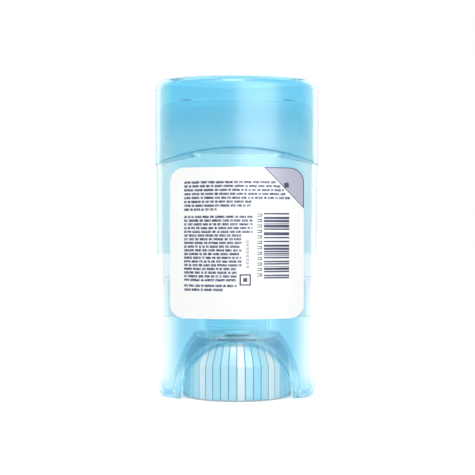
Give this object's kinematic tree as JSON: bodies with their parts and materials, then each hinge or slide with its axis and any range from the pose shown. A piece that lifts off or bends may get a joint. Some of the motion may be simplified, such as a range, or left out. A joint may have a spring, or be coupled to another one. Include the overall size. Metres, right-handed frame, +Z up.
{
  "type": "deodorant stick",
  "caption": "Oval clear gel stick with a lift-off cap, a perforated dome and a ribbed dial whose screw raises the piston.",
  "frame": {"origin": "centre of the base, on the plane of the feet", "axes": "+Z up through the dial, screw and cap; +X across the wide face; -Y out of the face with the back label"},
  "size_m": [0.0588, 0.039, 0.114],
  "materials": {
    "clear_blue_cap": "clear tinted, polished",
    "clear_blue_cover": "clear tinted, polished",
    "clear_blue_barrel": "clear tinted, polished",
    "dial_blue": "clear tinted, ribbed",
    "pale_blue": "moulded, satin",
    "clear_gel": "clear gel",
    "label_white": "film label, satin",
    "label_lilac": "film label, satin",
    "label_front": "film label, satin"
  },
  "bodies": {
    "barrel": {"barrel": "clear_blue_barrel", "applicator_dome": "pale_blue", "seal_cover": "clear_blue_cover", "gel_fill": "clear_gel", "label_base": "label_lilac", "label_leaf": "label_white", "front_label": "label_front"},
    "cap": {"cap": "clear_blue_cap"},
    "dial": {"dial": "dial_blue", "feed_screw": "pale_blue"},
    "elevator": {"elevator": "pale_blue"}
  },
  "joints": [
    {"name": "cap_lift", "type": "slide", "parent": "barrel", "child": "cap", "axis": [0, 0, 1], "range_m": [0, 0.04]},
    {"name": "dial_turn", "type": "hinge", "parent": "barrel", "child": "dial", "pos_m": [0, 0, 0.01], "axis": [0, 0, 1], "range_deg": [0, 3960]},
    {"name": "elevator_rise", "type": "slide", "parent": "barrel", "child": "elevator", "axis": [0, 0, 1], "range_m": [0, 0.044], "deforming": ["gel_fill"]}
  ],
  "couplings": [
    {"joint": "elevator_rise", "follows": "dial_turn", "m_per_rad": 0.00063662}
  ]
}
